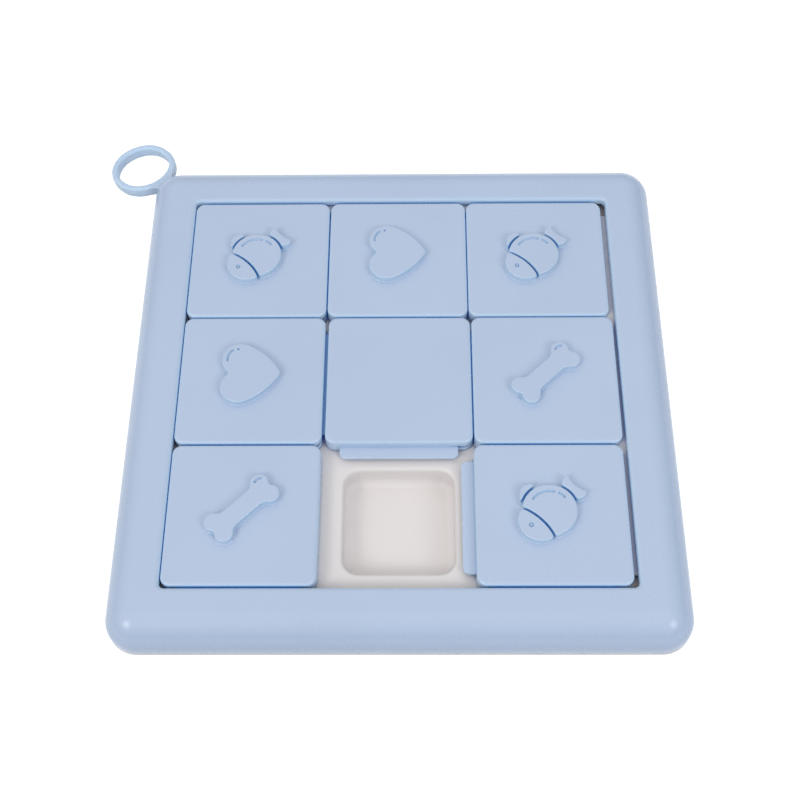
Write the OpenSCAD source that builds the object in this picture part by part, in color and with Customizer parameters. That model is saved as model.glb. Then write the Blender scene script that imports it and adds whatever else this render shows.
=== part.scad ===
// Sliding puzzle feeder. A soft-edged frame stands on a tray with nine food wells, and eight
// tiles slide over the wells on tongues and grooves. Millimetres, +Z up. The origin is the
// centre of the tray on the surface that it stands on, and the front is towards -Y.

/* [Frame] */
// Outer width of the frame and of the tray's flange, both square
outer_w = 280; // [262:1:320]
// Width of the frame's band, from its window to its outer edge
band_w = 26.3; // [24:0.1:30]
// Radius of the frame's outer rounding, on its upper edges and its corners
outer_round = 15.5; // [13:0.5:16]
// Height of the frame's top above the tops of the tiles
frame_proud = 1; // [0.5:0.5:3]
// Wall of the frame's shell
frame_wall = 2.4; // [1.6:0.2:3]
// Thickness of the frame's lip round the window
lip_t = 2.4; // [2.4:0.2:4]
// Rounding of the lip's upper edge
window_round = 2.2; // [1:0.2:3]
// Corner radius of the window
window_corner_r = 2.8; // [1:0.2:4]

/* [Tiles] */
// Play in a row or column of three tiles, all gaps together
play = 4.2; // [3.4:0.2:5]
// Corner radius of a tile
tile_corner_r = 4.7; // [2.5:0.1:8]
// Height of a tile's cap
cap_h = 4.2; // [3.6:0.2:6]
// Rounding of the cap's upper edge
cap_round = 1.6; // [0.6:0.2:2.2]
// Thickness of the cap's top over its pocket
cap_top_t = 2; // [1.6:0.2:2.4]
// Thickness of a tile's sole
sole_h = 2.2; // [1.6:0.2:3]
// Height of the groove between sole and cap
groove_h = 2.3; // [2.1:0.1:3]
// Depth of the groove
groove_d = 7.2; // [6.8:0.2:9]
// How far a tongue reaches out of its tile or rail
tongue_reach = 6.3; // [4:0.1:6.5]
// How far a tongue stops short of its tile's corners at each end
tongue_short = 7.4; // [7:0.1:16]
// Thickness of a tongue
tongue_t = 1.9; // [1.5:0.1:2]
// Corner radius of a tile's tongue
tongue_corner_r = 3; // [1:0.5:4]
// Side walls inside a tile
tile_wall = 2; // [1.6:0.2:3]

/* [Pictures] */
// Size of the raised pictures, across the bone from end to end
picture_w = 38.9; // [30:0.1:44]
// Height of the raised pictures
picture_h = 4; // [2:0.1:5]
// Gap between the parts of a picture
picture_gap = 1; // [0.6:0.1:1.6]

/* [Tray] */
// Width of a food well, square
well_w = 55; // [40:1:60]
// Depth of a food well
well_d = 13.5; // [8:0.5:20]
// Corner radius of a food well
well_corner_r = 8; // [6:0.5:12]
// Walls and floors of the tray
tray_wall = 1.9; // [1.5:0.1:2.5]
// Thickness of the flange that carries the frame
flange_t = 2.6; // [1.6:0.2:3]
// Height of the deck above the flange
deck_rise = 9; // [5:0.1:10]
// How far the skirt is set in from the flange's edge
skirt_inset = 6; // [5:0.5:8]
// Corner radius of the skirt and of the raised deck
skirt_corner_r = 10; // [6:1:14]
// Thickness of the ribs under the deck
rib_t = 1.6; // [1.2:0.2:2.4]

/* [Rails] */
// Width of a guide rail's foot on the deck
rail_foot_w = 6; // [4:0.5:8]
// How far a rail stops short of the window's corners
rail_short = 8; // [4:0.5:16]
// Radius of the pegs that hold a rail in the deck
rail_peg_r = 1.8; // [1.2:0.1:2.2]

/* [Feet and screws] */
// Height of the well floors above the surface, on the rubber feet
foot_proud = 2.6; // [2:0.2:5]
// Height of the skirt's lower edge above the surface
skirt_gap = 1.6; // [1:0.2:3]
// Radius of a rubber foot
foot_r = 8; // [5:0.5:10]
// Depth of the seat that a foot is glued in
foot_seat = 0.6; // [0.3:0.1:1]
// Distance from the outer feet to their well's middle, along each side
foot_shift = 15; // [0:1:18]
// Radius of a screw's shank
screw_r = 1.4; // [1.2:0.1:1.8]
// Length of a screw's shank
screw_len = 10; // [8:0.5:12]
// Radius of a screw's head
screw_head_r = 2.8; // [2.4:0.1:3]
// Thickness of a screw's head
screw_head_t = 1.8; // [1.2:0.2:2.4]
// Radius of a screw boss under the frame
boss_r = 3.4; // [3:0.1:3.6]
// Distance from the frame's edge in to the screws along the sides
boss_inset = 12; // [11:0.1:13]
// Gap between the screw bosses and the wall of the raised deck
boss_gap = 0.1; // [0.1:0.1:0.5]

/* [Loop] */
// Inner radius of the loop's ends
loop_r = 14.4; // [10:0.1:18]
// Extra length of the loop, away from the corner
loop_stretch = 2.5; // [0:0.5:8]
// Thickness of the loop's strap
loop_t = 3.7; // [2:0.1:4.4]
// Height of the loop's strap
loop_h = 7; // [4:0.1:8]
// How far the loop droops away from the corner, in degrees
loop_droop = 10.5; // [0:0.5:14]
// Height of the loop's neck above the flange
neck_lift = 1.4; // [0.3:0.1:2]
// Width of the loop's neck
neck_w = 9; // [6:0.5:10]
// How far the anchor tab inside the frame stands out past the neck on each side
anchor_lap = 3.5; // [2:0.5:3.5]
// Thickness of the anchor tab
anchor_t = 2.2; // [1.6:0.1:2.4]

/* [Clearances] */
// Gap between a tile and the deck under it
tile_lift = 0.3; // [0.2:0.1:0.5]
// Gap between a tongue's upper face and the frame's lip
lip_gap = 0.6; // [0.4:0.1:1]
// Gap between a rail's foot and a tile that stands against the window
rail_gap = 0.5; // [0.3:0.1:1]
// Gap round a fitted peg or screw
peg_fit = 0.05; // [0.03:0.01:0.1]
// Gap round a loose screw hole or the loop's neck
loose_fit = 0.3; // [0.2:0.1:0.5]
// Gap between the frame's corner and the loop
loop_gap = 0.8; // [0.7:0.1:1.5]

/* [Hidden] */
$fn = 64;
e = 0.01;

BLUE = [0.70, 0.77, 0.87];
WHITE = [0.90, 0.89, 0.88];
RUBBER = [0.35, 0.37, 0.40];
STEEL = [0.62, 0.63, 0.65];

// The eight tiles: name, column and row counted from the middle, picture, and the share of the
// play that lies on the tile's left and on its front as it rests
TILES = [
    ["back_left", -1, 1, "fish", 0.07, 0.71],
    ["back_mid", 0, 1, "heart", 0.21, 0.71],
    ["back_right", 1, 1, "fish", 0.31, 0.71],
    ["mid_left", -1, 0, "heart", 0.07, 0.52],
    ["centre", 0, 0, "none", 0.45, 0.50],
    ["mid_right", 1, 0, "bone", 0.60, 0.52],
    ["front_left", -1, -1, "bone", 0.07, 0.29],
    ["front_right", 1, -1, "fish", 0.48, 0.29],
];

// Plan
window_w = outer_w - 2 * band_w;
tile_w = (window_w - play) / 3;
tongue_len = tile_w - 2 * tongue_short;
cell = window_w / 3;
deck_w = outer_w - 2 * (boss_inset + boss_r + boss_gap);
skirt_w = outer_w - 2 * skirt_inset;
outer_k = outer_w / 2 - outer_round;

// Levels
deck_z = foot_proud + tray_wall + well_d;
flange_top = deck_z - deck_rise;
flange_z = flange_top - flange_t;
sole_z = deck_z + tile_lift;
groove_z = sole_z + sole_h;
tongue_z = groove_z + (groove_h - tongue_t) / 2;
cap_z = groove_z + groove_h;
tile_top = cap_z + cap_h;
frame_top = tile_top + frame_proud;
frame_h = frame_top - flange_top;
lip_z = tongue_z + tongue_t + lip_gap;

// Pegs along a rail
rail_len = window_w - 2 * rail_short;
rail_x = window_w / 2 + rail_gap;
peg_x = rail_x + rail_foot_w / 2;
PEGS = [for (k = [-1, 0, 1]) k * cell];
peg_len = tray_wall;

// Loop, on the diagonal through the back left corner
loop_away = outer_round + loop_gap + loop_t + loop_r + loop_stretch / 2;
neck_z = flange_top + neck_lift;
loop_z = neck_z + loop_h / 2 - (loop_r + loop_t + loop_stretch / 2) * sin(loop_droop);
notch_h = neck_lift + loop_h + loose_fit;

// Anchor tab: it stands as far out as the shell's rounded corner lets its upper corners go
anchor_w = neck_w + 2 * anchor_lap;
shell_r = outer_round - frame_wall;
shell_rise = max(0, notch_h - loose_fit - (frame_h - outer_round));
anchor_reach = sqrt(pow(shell_r, 2) - pow(shell_rise, 2)) - loose_fit;
anchor_r = anchor_w / 2 < anchor_reach / sqrt(2)
    ? sqrt(pow(anchor_reach, 2) - pow(anchor_w / 2, 2))
    : anchor_reach * sqrt(2) - anchor_w / 2;

// Screws: the four corners and the middle of each side
boss_edge = outer_w / 2 - boss_inset;
boss_corner = outer_k + (anchor_r - anchor_t - loose_fit - boss_r) / sqrt(2);
BOSSES = [
    for (s = [-1, 1]) for (p = [[s * boss_edge, 0], [0, s * boss_edge]]) p,
    for (x = [-1, 1]) for (y = [-1, 1]) boss_corner * [x, y],
];

// ---------------------------------------------------------------- shared shapes

// A square with round corners
module rounded_square(w, r) {
    square([w, w - 2 * r], center = true);
    square([w - 2 * r, w], center = true);
    for (x = [-1, 1]) for (y = [-1, 1]) translate((w / 2 - r) * [x, y]) circle(r);
}

// A flat slab with round corners
module slab(w, h, r) {
    linear_extrude(h) rounded_square(w, r);
}

// Sweeps a profile round a square with round corners. The profile's x runs outwards from a
// corner's centre and its y runs upwards, and h is its height at x = 0.
module swept_square(w, r, h) {
    k = w / 2 - r;
    for (x = [-k, k]) for (y = [-k, k]) translate([x, y, 0]) rotate_extrude() children();
    for (a = [0:90:270]) rotate(a) translate([k, k, 0]) rotate([90, 0, 0])
        linear_extrude(2 * k) children();
    translate([-k, -k, 0]) cube([2 * k, 2 * k, h]);
}

// A profile whose outer upper corner is rounded
module soft_profile(r, h, f) {
    square([r, h - f]);
    if (f < r) square([r - f, h]);
    intersection() {
        translate([r - f, h - f]) circle(f);
        square([r, h]);
    }
}

// A profile of a hole that widens upwards in a rounding, and goes on for a little above it
module flared_profile(r, h, f) {
    square([r, h + 1]);
    difference() {
        translate([0, h - f]) square([r + f, f + 1]);
        translate([r + f, h - f]) circle(f);
    }
}

// Two circles joined by their outer tangents
module taper(c1, r1, c2, r2) {
    d = norm(c2 - c1);
    a = atan2(c2.y - c1.y, c2.x - c1.x);
    b = acos((r1 - r2) / d);
    translate(c1) circle(r1);
    translate(c2) circle(r2);
    polygon([
        c1 + r1 * [cos(a + b), sin(a + b)], c2 + r2 * [cos(a + b), sin(a + b)],
        c2 + r2 * [cos(a - b), sin(a - b)], c1 + r1 * [cos(a - b), sin(a - b)],
    ]);
}

// ---------------------------------------------------------------- pictures, drawn at full size

// Two lobes and two long flanks that meet in the tip, which points right
module heart() {
    middle_y = 1.4;
    lobe = [-6, 8];
    lobe_r = 9.3;
    flank_r = 38.3;
    join = 65;
    to_join = [cos(join), sin(join)];
    flank = lobe - (flank_r - lobe_r) * to_join;
    translate([0, middle_y]) {
        for (s = [-1, 1]) translate([lobe.x, s * lobe.y]) circle(lobe_r);
        intersection() {
            translate([flank.x, flank.y]) circle(flank_r);
            translate([flank.x, -flank.y]) circle(flank_r);
            translate([lobe.x + lobe_r * to_join.x, -flank_r]) square(2 * flank_r);
        }
    }
}

// A shaft with two round knuckles at each end, lying across the tile
module bone() {
    shaft_w = 9.6;
    knuckle = [14.9, 4];
    knuckle_r = 4.6;
    neck_x = 9;
    translate([0.1, 1.3]) rotate(44) {
        square([2 * knuckle.x, shaft_w], center = true);
        for (s = [-1, 1]) for (t = [-1, 1])
            taper([s * neck_x, 0], shaft_w / 2, [s * knuckle.x, t * knuckle.y], knuckle_r);
    }
}

// A round body and head in one outline, parted at the gill, with a fin and a tail beside it
module fish() {
    body = [-1.3, -0.1];
    body_r = 13.3;
    head = [-6.2, -5.7];
    head_r = 10.7;
    gill = [-26.2, -25.5];
    gill_r = 29;
    difference() {
        taper(body, body_r, head, head_r);
        difference() {
            translate(gill) circle(gill_r + picture_gap / 2);
            translate(gill) circle(gill_r - picture_gap / 2);
        }
    }
    difference() {
        fin_and_tail();
        translate(body) circle(body_r + picture_gap);
    }
}

// The fin and the tail before the body is cut out of them
module fin_and_tail() {
    fin_corner = [-12.5, 10.4];
    fin_low = [-14.9, 5.6];
    fin_high = [-8.2, 12.7];
    tail_high = [7.4, 17.6];
    tail_low = [16.3, 9.2];
    tail_root = [9, 9.2];
    tail_tip_r = 1.2;
    scoop = [20.3, 21.6];
    scoop_r = 12.5;
    taper(fin_corner, 3.2, fin_low, 0.8);
    taper(fin_corner, 3.2, fin_high, 0.8);
    polygon([fin_corner, fin_low, fin_high]);
    difference() {
        union() {
            taper(tail_root, 4.4, tail_high, tail_tip_r);
            taper(tail_root, 4.4, tail_low, tail_tip_r);
            polygon([tail_root, tail_high, tail_low]);
        }
        translate(scoop) circle(scoop_r);
    }
}

module picture(kind) {
    drawn_w = 38.9;
    scale(picture_w / drawn_w) {
        if (kind == "heart") heart();
        if (kind == "bone") bone();
        if (kind == "fish") fish();
    }
}

// ---------------------------------------------------------------- tray

// The outline of the nine wells, or of their cups
module wells(w, r) {
    for (x = [-1:1]) for (y = [-1:1]) translate(cell * [x, y]) rounded_square(w, r);
}

// A frame of two nested squares, from one level up to another
module square_ring(z, top, outer, outer_r, inner, inner_r) {
    translate([0, 0, z]) linear_extrude(top - z) difference() {
        rounded_square(outer, outer_r);
        rounded_square(inner, inner_r);
    }
}

module base_tray() color(WHITE) {
    inside_w = deck_w - 2 * tray_wall;
    inside_r = skirt_corner_r - tray_wall;
    cup_w = well_w + 2 * tray_wall;
    cup_r = well_corner_r + tray_wall;
    deck_under = deck_z - tray_wall;
    // skirt and raised deck's wall
    square_ring(skirt_gap, flange_z + e, skirt_w, skirt_corner_r, skirt_w - 2 * tray_wall, inside_r);
    square_ring(flange_top - e, deck_under + e, deck_w, skirt_corner_r, inside_w, inside_r);
    // flange
    translate([0, 0, flange_z]) linear_extrude(flange_t) difference() {
        rounded_square(outer_w, outer_round);
        rounded_square(inside_w, inside_r);
        for (p = BOSSES) translate(p) circle(screw_r + loose_fit);
    }
    // deck
    translate([0, 0, deck_under]) linear_extrude(tray_wall) difference() {
        rounded_square(deck_w, skirt_corner_r);
        wells(well_w, well_corner_r);
        for (a = [0, 90]) rotate(a) for (y = PEGS) translate([peg_x, y]) circle(rail_peg_r + peg_fit);
    }
    // the wells' walls, their floors and the seats of the feet
    translate([0, 0, foot_proud + tray_wall]) linear_extrude(well_d - tray_wall + e) difference() {
        wells(cup_w, cup_r);
        wells(well_w, well_corner_r);
    }
    translate([0, 0, foot_proud + foot_seat]) linear_extrude(tray_wall - foot_seat + e)
        wells(cup_w, cup_r);
    translate([0, 0, foot_proud]) linear_extrude(foot_seat + e) difference() {
        wells(cup_w, cup_r);
        feet_outline(foot_r + peg_fit);
    }
    deck_ribs(inside_w + tray_wall);
}

// Four ribs between the wells, under the deck
module deck_ribs(length) {
    z = flange_z - 2;
    translate([0, 0, z]) linear_extrude(deck_z - tray_wall / 2 - z)
        for (a = [0, 90]) rotate(a) for (s = [-1, 1])
            translate([s * cell / 2, 0]) square([rib_t, length], center = true);
}

// The feet: one under the middle well and one at the outer corner of each corner well
module feet_outline(r) {
    translate([0, 0]) circle(r);
    for (x = [-1, 1]) for (y = [-1, 1]) translate((cell + foot_shift) * [x, y]) circle(r);
}

module rubber_feet() color(RUBBER) linear_extrude(foot_proud + foot_seat) feet_outline(foot_r);

// ---------------------------------------------------------------- frame

// The frame's outside, drawn in by a share of its wall
module frame_mass(inset) {
    r = outer_round - inset;
    h = frame_h - inset;
    swept_square(outer_w - 2 * inset, r, h) soft_profile(r, h, r);
}

module top_frame() color(BLUE) {
    lip_w = window_w + 2 * lip_t;
    difference() {
        union() {
            translate([0, 0, flange_top]) difference() {
                frame_mass(0);
                translate([0, 0, -e]) frame_mass(frame_wall);
            }
            translate([0, 0, lip_z]) slab(lip_w, frame_top - frame_wall / 2 - lip_z,
                window_corner_r + lip_t);
            translate([0, 0, flange_top]) intersection() {
                frame_mass(frame_wall / 2);
                for (p = BOSSES) translate(p) cylinder(r = boss_r, h = frame_h);
            }
        }
        translate([0, 0, lip_z - 1]) swept_square(window_w, window_corner_r, frame_top - lip_z + 2)
            flared_profile(window_corner_r, frame_top - lip_z + 1, window_round);
        for (p = BOSSES) translate([p.x, p.y, flange_top - 1])
            cylinder(r = screw_r + peg_fit, h = screw_len - flange_t + 2);
        at_loop_corner() translate([anchor_r, -neck_w / 2 - loose_fit, flange_top - 1])
            cube([outer_round, neck_w + 2 * loose_fit, notch_h + 1]);
    }
}

module frame_screws() color(STEEL) for (p = BOSSES) translate([p.x, p.y, flange_z]) {
    cylinder(r = screw_r, h = screw_len);
    translate([0, 0, -screw_head_t]) difference() {
        cylinder(r = screw_head_r, h = screw_head_t);
        for (a = [0, 90]) rotate(a) translate([0, 0, 0.4])
            cube([2.4, 0.7, 0.8 + 2 * e], center = true);
    }
}

// ---------------------------------------------------------------- rails

// The rail on the right side: a foot on the deck and a tongue that reaches into the window
module guide_rail() {
    foot_h = tongue_z + tongue_t - deck_z;
    translate([rail_x, -rail_len / 2, deck_z]) cube([rail_foot_w, rail_len, foot_h]);
    translate([window_w / 2 - tongue_reach, -rail_len / 2, tongue_z])
        cube([tongue_reach + rail_gap + e, rail_len, tongue_t]);
    for (y = PEGS) translate([peg_x, y, deck_z - peg_len])
        cylinder(r = rail_peg_r, h = peg_len + e);
}

module right_rail() color(WHITE) guide_rail();

module back_rail() color(WHITE) rotate(90) guide_rail();

// ---------------------------------------------------------------- tiles

// Where a tile's middle stands as it rests
function tile_at(t) = [
    -window_w / 2 + (t[1] + 1.5) * tile_w + t[4] * play,
    -window_w / 2 + (t[2] + 1.5) * tile_w + t[5] * play,
];

// The block inside a tile, which its grooves leave standing at the front and at the left
module tile_core(inset, h) {
    w = tile_w - groove_d;
    translate([-groove_d / 2, -groove_d / 2, 0]) slab(w - 2 * inset, h, tile_corner_r);
}

module tile_cap(t) color(BLUE) translate(concat(tile_at(t), cap_z)) {
    difference() {
        swept_square(tile_w, tile_corner_r, cap_h) soft_profile(tile_corner_r, cap_h, cap_round);
        translate([0, 0, -1]) tile_core(tile_wall, cap_h - cap_top_t + 1);
    }
    translate([0, 0, cap_h - e]) linear_extrude(picture_h + e) picture(t[3]);
}

module tile_slider(t) color(BLUE) translate(concat(tile_at(t), sole_z)) {
    core_h = sole_h + groove_h;
    difference() {
        union() {
            slab(tile_w, sole_h, tile_corner_r);
            tile_core(0, core_h);
            tongues();
        }
        translate([0, 0, sole_h]) tile_core(tile_wall, core_h);
    }
}

// A slider's two tongues, at the left and at the front
module tongues() {
    r = tongue_corner_r;
    for (a = [0, 90]) rotate(a) translate([0, 0, tongue_z - sole_z]) linear_extrude(tongue_t)
        translate([-tile_w / 2 - tongue_reach, -tongue_len / 2]) {
            translate([r, 0]) square([tongue_reach + tile_wall - r, tongue_len]);
            translate([0, r]) square([r + 1, tongue_len - 2 * r]);
            for (y = [r, tongue_len - r]) translate([r, y]) circle(r);
        }
}

// ---------------------------------------------------------------- loop

// The frame's back left corner: the origin at the corner's centre, x away from the tray
module at_loop_corner() {
    translate([-outer_k, outer_k, 0]) rotate(135) children();
}

module loop_outline(r) {
    s = loop_stretch / 2;
    translate([-s, -r]) square([2 * s, 2 * r]);
    for (x = [-s, s]) translate([x, 0]) circle(r);
}

module carry_loop() color(BLUE) at_loop_corner() {
    translate([loop_away, 0, loop_z]) rotate([0, loop_droop, 0])
        translate([0, 0, -loop_h / 2]) linear_extrude(loop_h) difference() {
            loop_outline(loop_r + loop_t);
            loop_outline(loop_r);
        }
    translate([anchor_r - anchor_t, -neck_w / 2, neck_z])
        cube([outer_round + loop_gap + loop_t / 2 - anchor_r + anchor_t, neck_w, loop_h]);
    translate([anchor_r - anchor_t, -anchor_w / 2, neck_z]) cube([anchor_t, anchor_w, loop_h]);
}

// ---------------------------------------------------------------- nodes

base_tray();
top_frame();
right_rail();
back_rail();
carry_loop();
frame_screws();
rubber_feet();
for (t = TILES) {
    tile_cap(t);
    tile_slider(t);
}
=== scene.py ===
"""Looks of a sliding puzzle feeder: a soft-edged frame on a tray with nine food wells, eight tiles
that slide on tongues and grooves, and a soft carrying loop. Lengths are in millimetres until a mesh
is made, +Z is up and the front is towards -Y."""

import math

import bmesh
import bpy
from mathutils import Matrix, Vector


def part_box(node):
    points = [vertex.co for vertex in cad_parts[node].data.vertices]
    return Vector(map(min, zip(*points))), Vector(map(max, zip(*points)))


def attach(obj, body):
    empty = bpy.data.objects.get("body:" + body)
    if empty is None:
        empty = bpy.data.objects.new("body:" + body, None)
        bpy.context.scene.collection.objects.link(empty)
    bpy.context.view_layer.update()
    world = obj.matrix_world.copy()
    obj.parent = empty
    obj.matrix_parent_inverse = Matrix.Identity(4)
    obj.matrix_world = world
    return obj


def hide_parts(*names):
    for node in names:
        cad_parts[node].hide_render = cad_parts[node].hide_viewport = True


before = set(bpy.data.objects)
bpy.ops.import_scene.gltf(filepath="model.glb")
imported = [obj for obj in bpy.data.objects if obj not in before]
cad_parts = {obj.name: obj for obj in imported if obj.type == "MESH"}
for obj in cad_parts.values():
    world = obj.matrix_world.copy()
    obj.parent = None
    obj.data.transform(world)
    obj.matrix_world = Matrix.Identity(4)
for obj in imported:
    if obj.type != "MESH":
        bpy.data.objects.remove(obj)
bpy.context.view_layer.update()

MM = 0.001
TINY = 0.02                         # the smallest radius that is drawn
WELD = 0.0005                       # points this near each other become one
NEAR = 0.01                         # points this near a border lie on it
ROUND_STEPS = 8                     # steps of a corner's rounding, where no other number is asked
TILES = {
    "back_left": "fish", "back_mid": "heart", "back_right": "fish",
    "mid_left": "heart", "centre": None, "mid_right": "bone",
    "front_left": "bone", "front_right": "fish",
}


def node_box(node):
    """The lowest and highest corners of a CAD node, in millimetres."""
    low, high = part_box(node)
    return low / MM, high / MM


# ---------------------------------------------------------------- sizes, the same as in the model

TRAY_LOW, TRAY_HIGH = node_box("base_tray")
FRAME_LOW, FRAME_HIGH = node_box("top_frame")
CAP_LOW, CAP_HIGH = node_box("centre_cap")
FOOT_HIGH = node_box("rubber_feet")[1]
SCREW_LOW, SCREW_HIGH = node_box("frame_screws")

OUTER = FRAME_HIGH.x                # half the frame's width
OUTER_ROUND = 15.5
FRAME_WALL = 2.4
FRAME_TOP = FRAME_HIGH.z
FLANGE_TOP = FRAME_LOW.z
DECK = TRAY_HIGH.z
TILE = (CAP_HIGH.x - CAP_LOW.x) / 2  # half a tile's width
TILE_R = 4.7
CAP_ROUND = 1.6
CELL = 75.8
WINDOW = 1.5 * CELL                 # half the window's width
WINDOW_R = 2.8
WINDOW_ROUND = 2.2
LIP_T = 2.4
LIP_LOW = 23.2
WELL = 27.5                         # half a well's width
WELL_R = 8
WELL_FLOOR = 4.5
TRAY_WALL = 1.9
FLANGE_LOW = FLANGE_TOP - 2.6
SKIRT = 134                         # half the skirt's width
SKIRT_R = 10
ROUNDING = OUTER - OUTER_ROUND      # where the frame's rounding starts, and its corners' centres
INNER_ROUND = OUTER_ROUND - FRAME_WALL
DECK_EDGE = WINDOW + 10.8           # half the raised deck's width
PICTURE_H = node_box("back_left_cap")[1].z - CAP_HIGH.z
BOSS_EDGE, BOSS_CORNER, BOSS_R = 128, 126.51, 3.4
BOSSES = [(x, 0) for x in (-BOSS_EDGE, BOSS_EDGE)] + [(0, y) for y in (-BOSS_EDGE, BOSS_EDGE)]
BOSSES += [(x, y) for x in (-BOSS_CORNER, BOSS_CORNER) for y in (-BOSS_CORNER, BOSS_CORNER)]
SCREW_R = 1.4
PEG_R, PEG_LINE = 1.8, WINDOW + 3.5
HOLE_PLAY = 0.1                     # how much larger a hole's radius is than what sits in it
PEGS = [(PEG_LINE, y) for y in (-CELL, 0, CELL)] + [(x, PEG_LINE) for x in (-CELL, 0, CELL)]
FOOT_R, FOOT_AWAY = 8, 90.8
FEET = [(0, 0)] + [(x, y) for x in (-FOOT_AWAY, FOOT_AWAY) for y in (-FOOT_AWAY, FOOT_AWAY)]


# ---------------------------------------------------------------- meshes

def quadrant_ring(quarter):
    """A closed ring from the points of its first quadrant, turned round four times."""
    points = []
    for _ in range(4):
        points += quarter
        quarter = [(-y, x, z) for x, y, z in quarter]
    return points


def square_ring(half, radius, z, steps=ROUND_STEPS):
    """The points of a square with round corners."""
    k = half - max(radius, TINY)
    r = half - k
    angles = [math.pi / 2 * i / steps for i in range(steps + 1)]
    return quadrant_ring([(k + r * math.cos(a), k + r * math.sin(a), z) for a in angles])


def oblong_ring(half_x, half_y, radius, z, steps=ROUND_STEPS):
    """The points of an oblong with round corners."""
    square = square_ring(half_x, radius, z, steps)
    return [(x, y + math.copysign(half_y - half_x, y), z) for x, y, z in square]


def disc_ring(x, y, radius, z, steps=ROUND_STEPS):
    """The points of a circle."""
    return moved(square_ring(radius, radius, z, steps), x, y)


def rod_rings(x, y, radius, low, high):
    """The two rings of an upright rod."""
    return [disc_ring(x, y, radius, low), disc_ring(x, y, radius, high)]


def moved(points, x, y):
    """The points shifted sideways."""
    return [(px + x, py + y, z) for px, py, z in points]


def moved_rings(rings, x, y):
    """Rings shifted sideways."""
    return [moved(ring, x, y) for ring in rings]


def soft_steps(size, steps):
    """The insets and the drops of a quarter round, from the wall up to the top."""
    angles = [math.pi / 2 * i / steps for i in range(steps + 1)]
    return [(size * (1 - math.cos(a)), size * (1 - math.sin(a))) for a in angles]


def slab_rings(ring, low, high, top, bottom, hold=0.5):
    """Rings of a slab with a rounded upper and a rounded lower edge, of the radii top and bottom.

    ring(drawn, z) gives one ring, drawn in by so much at a height. hold is how far a flat face's
    ring lies inside its edge."""
    below = [ring(drawn, low + drop) for drawn, drop in soft_steps(bottom, 3)]
    above = [ring(drawn, high - drop) for drawn, drop in soft_steps(top, 6)]
    return [ring(bottom + hold, low)] + below[::-1] + above + [ring(top + hold, high)]


def join_rows(bm, rows):
    """Faces between each row of vertices and the next."""
    for low, high in zip(rows, rows[1:]):
        for i, a in enumerate(low):
            j = (i + 1) % len(low)
            bm.faces.new((a, low[j], high[j], high[i]))


def loft(bm, rings, closed):
    """Faces between rings that have as many points each. An open row of rings gets its two ends."""
    rows = [[bm.verts.new(p) for p in ring] for ring in rings]
    join_rows(bm, rows + rows[:1] if closed else rows)
    if not closed:
        bm.faces.new(rows[0][::-1])
        bm.faces.new(rows[-1])


def to_object(name, bm):
    """A mesh object in metres from a bmesh in millimetres."""
    bmesh.ops.remove_doubles(bm, verts=bm.verts, dist=WELD)
    bmesh.ops.recalc_face_normals(bm, faces=bm.faces)
    bm.transform(Matrix.Scale(MM, 4))
    mesh = bpy.data.meshes.new(name)
    bm.to_mesh(mesh)
    bm.free()
    obj = bpy.data.objects.new(name, mesh)
    bpy.context.scene.collection.objects.link(obj)
    return obj


def lofted(name, *pieces, closed=False):
    """An object with one loft for each list of rings."""
    bm = bmesh.new()
    for rings in pieces:
        loft(bm, rings, closed)
    return to_object(name, bm)


def apply_modifiers(obj):
    """Turns what the modifiers make into the object's own mesh."""
    depsgraph = bpy.context.evaluated_depsgraph_get()
    mesh = bpy.data.meshes.new_from_object(obj.evaluated_get(depsgraph))
    obj.modifiers.clear()
    obj.data = mesh


def combine(target, tool, operation):
    """Joins a tool to the target (UNION) or cuts it out (DIFFERENCE), and deletes the tool."""
    modifier = target.modifiers.new("combine", "BOOLEAN")
    modifier.operation = operation
    modifier.solver = "EXACT"
    modifier.object = tool
    apply_modifiers(target)
    bpy.data.objects.remove(tool)


def dress(obj, body, material, node):
    """Shades a finished piece, hangs it on its body and lets it stand for its CAD node."""
    sharp_from = math.radians(38)
    obj.data.shade_smooth()
    obj.data.set_sharp_from_angle(angle=sharp_from)
    weighted = obj.modifiers.new("normals", "WEIGHTED_NORMAL")
    weighted.keep_sharp = True
    obj.data.materials.clear()
    obj.data.materials.append(material)
    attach(obj, body)
    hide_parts(node)


# ---------------------------------------------------------------- outlines of the pictures

def arc(centre, radius, start, end, spacing=0.25):
    """Points along an arc from one angle to another, in degrees."""
    count = max(2, round(abs(math.radians(end - start)) * radius / spacing))
    angles = [math.radians(start + (end - start) * i / count) for i in range(count + 1)]
    return [(centre[0] + radius * math.cos(a), centre[1] + radius * math.sin(a)) for a in angles]


def bearing(origin, point):
    """The direction from one point to another, in degrees."""
    return math.degrees(math.atan2(point[1] - origin[1], point[0] - origin[0]))


def evened(outline, spacing=0.3, count=0):
    """The same closed outline with evenly spaced points, as many as asked or at a spacing."""
    closed = outline + outline[:1]
    lengths = [math.dist(a, b) for a, b in zip(closed, closed[1:])]
    count = count or round(sum(lengths) / spacing)
    step = sum(lengths) / count
    points = []
    travelled = 0
    for a, b, length in zip(closed, closed[1:], lengths):
        while len(points) < count and len(points) * step < travelled + length:
            t = (len(points) * step - travelled) / length
            points.append((a[0] + (b[0] - a[0]) * t, a[1] + (b[1] - a[1]) * t))
        travelled += length
    return points


def softened(outline, passes):
    """Rounds the corners of a closed outline by averaging each point with its neighbours."""
    for _ in range(passes):
        before = outline[-1:] + outline[:-1]
        after = outline[1:] + outline[:1]
        outline = [
            ((a[0] + 2 * b[0] + c[0]) / 4, (a[1] + 2 * b[1] + c[1]) / 4)
            for a, b, c in zip(before, outline, after)
        ]
    return outline


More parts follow.
